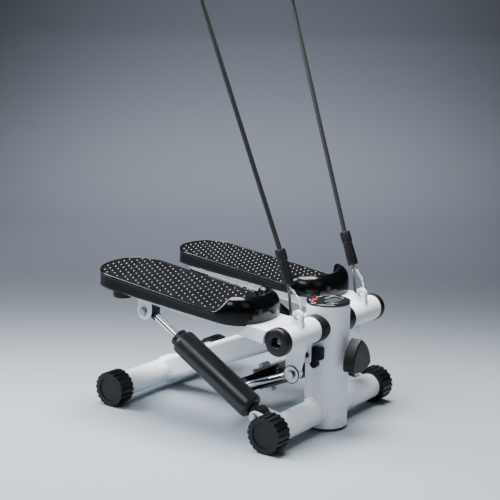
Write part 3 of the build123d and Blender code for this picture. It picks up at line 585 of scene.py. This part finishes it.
hook_corners = [(-3, 55), (-3, 46), (-15.5, HOOK_SEAT), (15.5, HOOK_SEAT),
                (16.5, HOOK_SEAT + 18), (3, 46), (3, 55)]
for side, sign in SIDES.items():
    eye = Vector((EYE.x, EYE.y * sign, EYE.z))
    corners = [(eye + Vector((0, u, 0)) + band_way * w) * MM for u, w in hook_corners]
    aside = Vector((0, 1, 0)).cross(band_way).normalized() * (HOOK_WIRE - 0.1) * MM
    body = rounded_route([corner - aside for corner in corners], HOOK_BEND * MM)
    doubled = rounded_route([corner + aside for corner in corners[:3]]
                            + [corners[2].lerp(corners[3], 0.3) + aside], HOOK_BEND * MM)
    start, stop = corners[3].lerp(corners[4], 0.28), corners[5].lerp(corners[4], 0.12)
    leg = [point - aside for point in (start, corners[4], stop)]
    coil = []
    for low, high in zip(leg, leg[1:]):
        _, across, other = frame_along(high - low)
        for k in range(COIL_TURNS * COIL_STEPS + 1):
            t = k / (COIL_TURNS * COIL_STEPS)
            swing = 2 * math.pi * COIL_TURNS * t
            coil.append(low.lerp(high, t) + (across * math.cos(swing) + other * math.sin(swing))
                        * (HOOK_WIRE + SPRING_WIRE) * MM)
    routes = [(body, HOOK_WIRE), (doubled, HOOK_WIRE), (coil, SPRING_WIRE)]
    wires = wire_curve(f"{side}_hook", routes, spring_steel)
    link_to_scene(f"{side}_hook", wires, f"{side}_band", [f"{side}_band_hook"])
print("hook springs:", len(coil), "points each")

# %% [markdown]
# ## Handles
# A loop of nylon webbing leaves a moulded ferrule on the cord's end and passes through a foam
# grip. The strap is a flat section carried round the loop, so it stays one thickness in the bends.

# %% Strap, ferrule and grip
GRIP_LENGTH, HANDLE_HEIGHT, STRAP_WIDTH, STRAP_THICK = 112.0, 66.0, 24.0, 3.0
grip_way = (Vector((1, 0, 0)) - cord_way * cord_way.x).normalized()
handle_side = grip_way.cross(cord_way)
ferrule_profile = [(0, 3.8), (0, 6.0), (0.8, 7.3), (3, 8.0), (9, 8.0), (12, 7.4), (13, 5.6),
                   (13, 2.0), (8, 2.0), (8, 3.8)]
grip_profile = [(0, 8.2), (0, 11.5), (1.2, 13.6), (3.5, 14.8), (7, 15.0)]
GRIP_STEPS, GROOVE_DEPTH = 56, 0.35     # every fourth step along the grip is a fine groove
grip_profile += [(7 + k * 98 / GRIP_STEPS, 15.0 - (GROOVE_DEPTH if k % 4 == 2 else 0.0))
                 for k in range(1, GRIP_STEPS + 1)]
grip_profile += [(108.5, 14.8), (110.8, 13.6), (112, 11.5), (112, 8.2)]


def handle_point(u, w, v=0.0):
    """A point of the handle's plane: along the grip, along the cord, and across the strap."""
    return cord_end + grip_way * u + cord_way * w + handle_side * v


half_loop, loop_foot, loop_shoulder = GRIP_LENGTH / 2 + 3.5, 13.5, HANDLE_HEIGHT - 19
loop_corners = [Vector((u, w, 0)) for u, w in (
    (0, loop_foot), (8, loop_foot), (half_loop, loop_shoulder), (half_loop, HANDLE_HEIGHT),
    (0, HANDLE_HEIGHT), (-half_loop, HANDLE_HEIGHT), (-half_loop, loop_shoulder),
    (-8, loop_foot), (0, loop_foot))]
loop = rounded_route(loop_corners, 7.0)[:-1]
for side, sign in SIDES.items():
    strap = bmesh.new()
    rings = []
    for i, here in enumerate(loop):
        way = (loop[(i + 1) % len(loop)] - loop[i - 1]).normalized()
        out = Vector((way.y, -way.x, 0))
        ring = []
        for thick, wide in ((-0.5, -0.46), (-0.5, 0.46), (-0.2, 0.5), (0.2, 0.5),
                            (0.5, 0.46), (0.5, -0.46), (0.2, -0.5), (-0.2, -0.5)):
            shift = here + out * thick * STRAP_THICK
            point = handle_point(shift.x, shift.y, wide * STRAP_WIDTH)
            ring.append(strap.verts.new(point * MM))
        rings.append(ring)
    stitch(strap, rings + rings[:1], False, False)
    turn_profile(strap, cord_end, cord_way, ferrule_profile, 32, bored=True)
    strap_piece = add_piece(f"{side}_strap", strap, sign, [nylon_webbing], f"{side}_band",
                            [f"{side}_band_strap"])
    grip = bmesh.new()
    grip_start = handle_point(-GRIP_LENGTH / 2, HANDLE_HEIGHT)
    turn_profile(grip, grip_start, grip_way, grip_profile, 40, bored=True)
    grip_piece = add_piece(f"{side}_grip", grip, sign, [grip_foam], f"{side}_band",
                           [f"{side}_band_grip"])
    cords[side].data.materials.append(cord_braid)
print("handles", GRIP_LENGTH, "mm wide")

# %% [markdown]
# ## Pedals
# Each pedal is one moulding: a long plate with a round heel whose skirt flares, a rim round a sunk
# tread, and a toe guard that rises out of the rim in a hollow curve and rolls over at its crest.
# The wall is made as rings that follow the pedal's outline. Each ring has two recipes, one for the
# plain rim and one for the guard, and the share of the guard grows along the pedal's length.

# %% The pedal's outline and heights
PEDAL_Y, PEDAL_HALF, PEDAL_REAR, PEDAL_FRONT = 103.0, 65.5, -216.0, 108.0
HEEL_REACH, TOE_REACH = 58.0, 54.0
TREAD_DEPTH, DECK = 0.9, 4.0
RIM_LEAN, SKIRT_LEAN = 0.026, 0.036     # the inner side of a pedal is a little higher
HEEL_FLARE, HEEL_DROP = 3.2, 4.5        # the skirt spreads and hangs lower round the heel
FLARED_RINGS = 3                        # the rings, from the foot up, that the flare moves
OUTLINE_POWER = 2.38                    # 2 is an ellipse, and more is squarer
ROUND_STEPS, STRAIGHT_STEPS = 44, 60    # points on each end and on each side of the outline


def eased(share):
    """A share from 0 to 1 that starts and ends gently."""
    share = min(max(share, 0.0), 1.0)
    return share * share * (3 - 2 * share)


def rim_height(x, y):
    """The top of the plain rim, which falls towards the toe and away from the column."""
    return 200.8 + 0.12 * (PEDAL_FRONT - x) + RIM_LEAN * (PEDAL_Y - y)


def heel_share(x):
    """How far a point is into the heel, from 0 to 1 at its end."""
    return max(0.0, (PEDAL_REAR + 40 - x) / 40) ** 2


def skirt_height(x, y):
    """The lower edge of the wall."""
    level = 188.3 + 0.081 * (PEDAL_FRONT - x) + SKIRT_LEAN * (PEDAL_Y - y)
    return level - HEEL_DROP * heel_share(x)


def crest_height(y):
    """The guard's crest: higher at its outer end."""
    return 226.5 + 4.5 * eased((y - PEDAL_Y) / PEDAL_HALF)


def outline_point(step, inset):
    """A point of the pedal's outline moved inwards. step is (part, share of that part)."""
    part, share = step
    half = PEDAL_HALF - inset
    front, rear = PEDAL_FRONT - TOE_REACH, PEDAL_REAR + HEEL_REACH
    if part in ("toe", "heel"):
        angle = math.pi * (0.5 - share) if part == "toe" else math.pi * (1.5 - share)
        reach = (TOE_REACH if part == "toe" else HEEL_REACH) - inset
        middle = front if part == "toe" else rear
        power = 2 / OUTLINE_POWER
        c, s = math.cos(angle), math.sin(angle)
        return (middle + reach * math.copysign(abs(c) ** power, c),
                PEDAL_Y + half * math.copysign(abs(s) ** power, s))
    x = front + (rear - front) * share if part == "near" else rear + (front - rear) * share
    return x, PEDAL_Y + (-half if part == "near" else half)


outline_steps = []
for part, count in (("toe", ROUND_STEPS), ("near", STRAIGHT_STEPS),
                    ("heel", ROUND_STEPS), ("far", STRAIGHT_STEPS)):
    outline_steps += [(part, k / count) for k in range(count)]
plain_ring = [(0.9, "skirt", 0.0), (0.5, "skirt", 1.2), (0.5, "skirt", 4.0), (0.5, "rim", -7.0),
              (0.3, "rim", -3.4), (0.05, "rim", -2.6), (0.0, "rim", -1.9), (0.15, "rim", -1.2),
              (0.6, "rim", -0.4), (1.2, "rim", 0.05), (1.9, "rim", 0.1), (2.5, "rim", -0.3),
              (2.8, "rim", -TREAD_DEPTH)]
guard_ring = [(0.9, "skirt", 0.0), (0.3, "skirt", 2.2), (0.0, "skirt", 8.0), (0.1, "crest", -22.0),
              (0.9, "crest", -15.5), (2.8, "crest", -9.8), (5.6, "crest", -5.2),
              (9.4, "crest", -1.7), (13.6, "crest", 0.0), (16.6, "crest", -0.8),
              (18.8, "crest", -3.6), (20.2, "crest", -8.5), (21.0, "rim", -TREAD_DEPTH)]


def guard_share(x, y):
    """How far the guard has risen: it starts nearer the toe on the outer side."""
    outer = min(max((y - PEDAL_Y) / PEDAL_HALF * 0.5 + 0.5, 0.0), 1.0)
    return eased((x - (30.0 + 16.0 * outer)) / 30.0)


def wall_point(step, k):
    """One point of the pedal's wall: ring k above the outline step, with the guard's share."""
    x_here, y_here = outline_point(step, 0.0)
    share = guard_share(x_here, y_here)
    heights = {"skirt": skirt_height(x_here, y_here), "rim": rim_height(x_here, y_here),
               "crest": crest_height(y_here)}
    inset = plain_ring[k][0] * (1 - share) + guard_ring[k][0] * share
    low = heights[plain_ring[k][1]] + plain_ring[k][2]
    high = heights[guard_ring[k][1]] + guard_ring[k][2]
    if k < FLARED_RINGS:
        inset -= HEEL_FLARE * heel_share(x_here) * (FLARED_RINGS - k) / FLARED_RINGS
    x, y = outline_point(step, inset)
    z = low * (1 - share) + high * share
    if k == len(plain_ring) - 1:
        z = rim_height(x, y) - TREAD_DEPTH
    return Vector((x, y, z))


def add_box(bm, low, high):
    """A closed block between two opposite corners."""
    corners = [bm.verts.new(Vector((x, y, z)) * MM) for z in (low[2], high[2])
               for x, y in ((low[0], low[1]), (high[0], low[1]), (high[0], high[1]),
                            (low[0], high[1]))]
    stitch(bm, [corners[:4], corners[4:]])


# %% Pedal shells
FOOT_INSET, DECK_INSET = 3.2, 4.4                # the wall's inner side, at its foot and its deck
RIB_BAYS, RIB_HALF, RIB_REACH = 6, 1.2, 60       # cross ribs under the deck


def span_across(bm, ring, material_index=0, flip=False):
    """Closes a ring with strips from side to side, which keeps a sloped plane flat."""
    toe_tip = ROUND_STEPS // 2
    count = len(ring)
    right_side = [ring[(toe_tip + k) % count] for k in range(count // 2 + 1)]
    left_side = [ring[(toe_tip - k) % count] for k in range(count // 2 + 1)]
    for k in range(count // 2):
        corners = [right_side[k], right_side[k + 1], left_side[k + 1], left_side[k]]
        corners = list(dict.fromkeys(corners))
        if len(corners) > 2:
            face = bm.faces.new(corners if not flip else corners[::-1])
            face.material_index = material_index


for side, sign in SIDES.items():
    shell = bmesh.new()
    walls = [[shell.verts.new(wall_point(step, k) * MM) for step in outline_steps]
             for k in range(len(plain_ring))]
    inner_foot, inner_deck = [], []
    for step in outline_steps:
        x, y = outline_point(step, FOOT_INSET)
        inner_foot.append(shell.verts.new(Vector((x, y, skirt_height(x, y))) * MM))
        x, y = outline_point(step, DECK_INSET)
        inner_deck.append(shell.verts.new(
            Vector((x, y, rim_height(x, y) - TREAD_DEPTH - DECK)) * MM))
    stitch(shell, [inner_deck, inner_foot] + walls, False, False)
    span_across(shell, walls[-1], 1)
    span_across(shell, inner_deck, 0, True)
    for k in range(1, RIB_BAYS):
        x = PEDAL_REAR + (PEDAL_FRONT - PEDAL_REAR) * k / RIB_BAYS
        add_box(shell, (x - RIB_HALF, PEDAL_Y - RIB_REACH, skirt_height(x, PEDAL_Y) + 2.5),
                (x + RIB_HALF, PEDAL_Y + RIB_REACH,
                 rim_height(x, PEDAL_Y) - TREAD_DEPTH - DECK))
    add_piece(f"{side}_pedal_shell", shell, sign, [glossy_polypropylene, satin_tread],
              f"{side}_arm", [f"{side}_pedal"], 30)
print("pedal shells:", len(outline_steps), "steps round the outline")

# %% [markdown]
# ## Tread studs
# The tread is covered with small pale studs in staggered rows, which keep a shoe from slipping.
# Each is a low dome. They are laid out from the real spacing, and those too near the rim or the
# guard are left out.

# %% Studs in staggered rows
STUD_PITCH_X, STUD_PITCH_Y, STUD_RADIUS, STUD_HEIGHT = 11.4, 13.4, 1.1, 0.8
STUD_MARGIN, STUD_START, STUD_ROWS = 4.0, 12, 29
RIM_WIDTH, GUARD_WIDTH, GUARD_LEAD = 2.8, 19.0, 16     # what the rim and guard take of the tread


def on_tread(x, y, margin):
    """Whether a point is inside the tread by a margin."""
    edge = RIM_WIDTH + GUARD_WIDTH * guard_share(x + GUARD_LEAD, y) + margin
    if abs(y - PEDAL_Y) > PEDAL_HALF - edge:
        return False
    if PEDAL_REAR + HEEL_REACH <= x <= PEDAL_FRONT - TOE_REACH:
        return True
    toe = x > 0
    middle = PEDAL_FRONT - TOE_REACH if toe else PEDAL_REAR + HEEL_REACH
    reach = (TOE_REACH if toe else HEEL_REACH) - edge
    across = abs(y - PEDAL_Y) / (PEDAL_HALF - edge)
    return (abs(x - middle) / reach) ** OUTLINE_POWER + across ** OUTLINE_POWER < 1


for side, sign in SIDES.items():
    studs = bmesh.new()
    made = 0
    for row in range(STUD_ROWS):
        x = PEDAL_REAR + STUD_START + STUD_PITCH_X * row
        for column in range(-5, 6):
            y = PEDAL_Y + STUD_PITCH_Y * (column + (0.5 if row % 2 else 0.0))
            if not on_tread(x, y, STUD_MARGIN):
                continue
            foot = rim_height(x, y) - TREAD_DEPTH
            rings = [[studs.verts.new(Vector((x + r * math.cos(a), y + r * math.sin(a), foot + h))
                                      * MM) for a in (math.pi * i / 6 for i in range(12))]
                     for h, r in ((-0.3, STUD_RADIUS), (0.3, STUD_RADIUS), (0.8, STUD_RADIUS * 0.7),
                                  (STUD_HEIGHT, STUD_RADIUS * 0.25))]
            stitch(studs, rings)
            made += 1
    add_piece(f"{side}_tread_studs", studs, sign, [stud_plastic], f"{side}_arm")
print("studs on each tread:", made)

# %% [markdown]
# ## Damper bodies
# A damper is a steel cylinder with a rolled shoulder, a neck that guides the rod, and a recessed
# base with an eye. Enamel over a rolled edge catches the light in a soft band, so the edges are
# real curves, turned from one profile, instead of a bevel on a straight tube.

# %% Turn the dampers
DAMPER_FOOT = Vector((108.5, 125.0, 42.0))
damper_way = Vector((-224.5, 0, 132.0)).normalized()
damper_profile = [(19.0, 9.0), (19.0, 12.4), (17.4, 13.2), (16.6, 14.6), (16.5, 16.2), (17.2, 18.2),
                  (18.8, 19.8), (21.2, 20.7), (25.0, 21.0), (60, 21.0), (100, 21.0), (140, 21.0),
                  (174.0, 21.0), (177.8, 20.5), (180.4, 19.0), (182.0, 17.0), (182.5, 15.2),
                  (184.0, 15.0), (186.0, 15.0), (186.5, 14.6), (187.2, 14.6), (187.7, 15.0),
                  (189.8, 15.0), (191.0, 14.2), (191.5, 12.6), (191.5, 9.0), (190.2, 7.6),
                  (190.2, 6.1)]
foot_eye_profile = [(-10.6, 12.8), (-10.2, 13.7), (-9.2, 14.0), (9.2, 14.0), (10.2, 13.7),
                    (10.6, 12.8)]
for side, sign in SIDES.items():
    damper = bmesh.new()
    turn_profile(damper, DAMPER_FOOT, damper_way, damper_profile, 64)
    turn_profile(damper, DAMPER_FOOT, (0, 1, 0), foot_eye_profile, 40)
    turn_profile(damper, DAMPER_FOOT, damper_way, [(8.0, 9.0), (20.0, 9.0)], 32)
    add_piece(f"{side}_damper_body", damper, sign, [satin_enamel], f"{side}_damper",
              [f"{side}_damper_tube"])
print("damper bodies:", damper_profile[-3][0], "mm from foot pivot to neck")

# %% [markdown]
# ## Weld beads
# The frame is welded before it is painted, so each joint has a soft rope of metal under the paint.
# A bead is a thin tube along the joint whose radius rises and falls every 4.4 mm, as each puddle
# of the weld does. The routes come from the tubes' own geometry: where a beam's outline meets a
# cylinder, and where a cross tube enters the column.

# %% Beads along the joints
COLUMN_X, FRONT_TUBE_X, REAR_TUBE_X, AXLE_Z = 150.5, 148.0, -184.0, 29.463
COLUMN_RADIUS, CROSS_TUBE_RADIUS = 35.0, 21.0
BEAM_RISE = math.radians(23.5)
BEAD_STEP, RIPPLE_STEPS = 1.1, 4     # the distance between points, and the points in one puddle


def add_bead(bm, route, reference, radius, closed):
    """A rippled tube along the points. reference is never along the route."""
    count = len(route)
    rings = []
    for i, here in enumerate(route):
        before = route[i - 1] if closed or i else here
        after = route[(i + 1) % count] if closed or i < count - 1 else here
        way = (after - before).normalized()
        across = way.cross(reference).normalized()
        other = way.cross(across)
        swell = radius * (1 + 0.2 * math.sin(2 * math.pi * i / RIPPLE_STEPS))
        if not closed:
            swell *= min(1.0, 0.35 + min(i, count - 1 - i) / 4)
        rings.append([bm.verts.new((here + (across * math.cos(a) + other * math.sin(a)) * swell)
                                   * MM) for a in (math.pi * k / 4 for k in range(8))])
    if closed:
        stitch(bm, rings + rings[:1], False, False)
    else:
        stitch(bm, rings)


def even_steps(points, step, closed):
    """The same route with points about one step apart."""
    route = []
    for low, high in zip(points, points[1:] + (points[:1] if closed else [])):
        parts = max(1, round((high - low).length / step))
        route += [low.lerp(high, k / parts) for k in range(parts)]
    return route if closed else route + [points[-1]]


def rounded_outline(half_wide, half_high, corner, inset=0.0):
    """(across, up) places round a rectangle with rounded corners."""
    places = []
    for cx, cz, start in ((1, 1, 0), (-1, 1, 90), (-1, -1, 180), (1, -1, 270)):
        for a in (math.radians(start + 15 * k) for k in range(7)):
            places.append((cx * (half_wide - corner) + (corner - inset) * math.cos(a),
                           cz * (half_high - corner) + (corner - inset) * math.sin(a)))
    return places


rise_c, rise_s = math.cos(BEAM_RISE), math.sin(BEAM_RISE)
at_column, at_rear = [], []
for y, up in rounded_outline(18.0, 21.0, 8.0):
    x = COLUMN_X - math.sqrt(COLUMN_RADIUS ** 2 - y ** 2)
    along = (x - REAR_TUBE_X + rise_s * up) / rise_c
    at_column.append(Vector((x, y, AXLE_Z + rise_s * along + rise_c * up)))
    along = math.sqrt(max(0.0, CROSS_TUBE_RADIUS ** 2 - up ** 2))
    at_rear.append(Vector((REAR_TUBE_X + rise_c * along - rise_s * up, y,
                           AXLE_Z + rise_s * along + rise_c * up)))
frame_welds = bmesh.new()
beam_axis = Vector((rise_c, 0, rise_s))
add_bead(frame_welds, even_steps(at_column, BEAD_STEP, True), beam_axis, 2.3, True)
add_bead(frame_welds, even_steps(at_rear, BEAD_STEP, True), beam_axis, 2.6, True)
for sign in (1, -1):
    ring = []
    for k in range(96):
        a = 2 * math.pi * k / 96
        x = FRONT_TUBE_X + CROSS_TUBE_RADIUS * math.cos(a)
        ring.append(Vector((x, sign * math.sqrt(COLUMN_RADIUS ** 2 - (x - COLUMN_X) ** 2),
                            AXLE_Z + CROSS_TUBE_RADIUS * math.sin(a))))
    add_bead(frame_welds, even_steps(ring, BEAD_STEP, True), Vector((0, 1, 0)), 2.8, True)
add_piece("frame_weld_beads", frame_welds, 1, [white_powder_coat], "root", (), 80)
ARM_WELD_START, ARM_WELD_END = 60.0, 131.0
for side, sign in SIDES.items():
    arm_welds = bmesh.new()
    for x, z in ((136.8, 186.0), (130.1, 165.2)):
        line = [Vector((x, ARM_WELD_START, z)), Vector((x, ARM_WELD_END, z))]
        add_bead(arm_welds, even_steps(line, BEAD_STEP, False), Vector((0, 0, 1)), 1.5, False)
    add_piece(f"{side}_arm_weld_beads", arm_welds, sign, [white_powder_coat], f"{side}_arm",
              (), 80)
print("beads on the frame:", 4, "and on each arm:", 2)

# %% [markdown]
# ## Small fittings
# A socket screw closes each end of the axle, deep in the cap's hole, with a black washer behind it.
# Each lug bolt stands on a black plastic ring, and each inner tab carries the small magnet that
# the step counter's switch feels. All of them are turned.

# %% Screws, rings and magnets
end_screw_profile = [(130.6, 5.6), (134.6, 5.6), (135.8, 4.9), (136.1, 3.2), (135.8, 2.7),
                     (133.4, 2.5)]
for side, sign in SIDES.items():
    screw = bmesh.new()
    turn_profile(screw, PIVOT, (0, 1, 0), end_screw_profile, 32)
    end_screw = add_piece(f"{side}_end_screw", screw, sign, [zinc_plate], "root")
    washer = bmesh.new()
    turn_profile(washer, PIVOT, (0, 1, 0), [(129.0, 10.8), (129.0, 11.5), (130.2, 11.5),
                                            (130.6, 11.0)], 40)
    add_piece(f"{side}_end_washer", washer, sign, [textured_abs], "root")
    if sign > 0:
        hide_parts("axle_end_screws")
    ring = bmesh.new()
    turn_profile(ring, Vector((140, 0, 104)), (0, 1, 0),
                 [(85.0, 13.05), (85.0, 14.3), (86.6, 14.6), (87.2, 14.0), (87.0, 13.05)],
                 48, bored=True)
    turn_profile(ring, Vector((147.5, 0, 130)), (0, 1, 0),
                 [(54.9, 4.4), (56.2, 4.4), (56.6, 4.0)], 32)
    add_piece(f"{side}_bolt_ring_and_magnet", ring, sign, [textured_abs], f"{side}_arm")

# %% [markdown]
# ## Console top
# The counter is a black glossy disc with a small window, a few generic printed lines and a red
# button. The print is a fraction of a millimetre proud, as silk-screen ink is, and is built as
# ring sectors, so it needs no image.

# %% Window, printed lines and button
TOP_Z = 209.0


def ring_sector(bm, inner, outer, start, stop, low, high):
    """A flat sector of a ring round the column's axis, angles in degrees from the front."""
    steps = max(2, int(abs(stop - start) / 6))
    rings = []
    for k in range(steps + 1):
        a = math.radians(start + (stop - start) * k / steps)
        rings.append([bm.verts.new(Vector((COLUMN_X + r * math.cos(a), r * math.sin(a), z)) * MM)
                      for r, z in ((inner, low), (outer, low), (outer, high), (inner, high))])
    stitch(bm, rings)


def rounded_plate(bm, middle, size, corner, low, high):
    """A plate with rounded corners and a small chamfer at the top."""
    rings = []
    for z, inset in ((low, 0.0), (high - 0.25, 0.0), (high, 0.25)):
        rings.append([bm.verts.new(Vector((middle[0] + u, middle[1] + v, z)) * MM)
                      for u, v in rounded_outline(size[0] / 2, size[1] / 2, corner, inset)])
    stitch(bm, rings)


print_lines = bmesh.new()
sectors = ((29.6, 30.3, 100, 150), (29.6, 30.3, 210, 262), (25.4, 26.0, 52, 118),
           (25.4, 26.0, -64, -20), (22.6, 24.4, 150, 157), (22.6, 24.4, 160, 163),
           (22.6, 24.4, 168, 178))
for inner, outer, start, stop in sectors:
    ring_sector(print_lines, inner, outer, start, stop, TOP_Z - 0.1, TOP_Z + 0.12)
for k in range(4):
    rounded_plate(print_lines, (COLUMN_X - 9.0 + k * 0.4, 6.0 + 5.2 * k),
                  (3.4, 1.6 + 0.7 * (k % 2)), 0.6, TOP_Z - 0.1, TOP_Z + 0.15)
add_piece("console_print", print_lines, 1, [pale_ink], "root")
window = bmesh.new()
rounded_plate(window, (COLUMN_X + 9.0, 0.0), (20.0, 30.0), 5.0, TOP_Z - 0.2, TOP_Z + 0.5)
add_piece("console_window", window, 1, [window_plastic], "root")
button = bmesh.new()
button_profile = [(206.8, 4.9), (209.2, 4.9), (209.9, 4.6), (210.2, 4.0), (210.3, 2.6),
                  (210.1, 1.2)]
turn_profile(button, Vector((COLUMN_X - 17.0, -14.0, 0)), (0, 0, 1), button_profile, 40)
add_piece("red_button", button, 1, [red_button_plastic], "button",
          ["console_button"])
print("console top at", TOP_Z, "mm, with", len(sectors), "printed sectors")
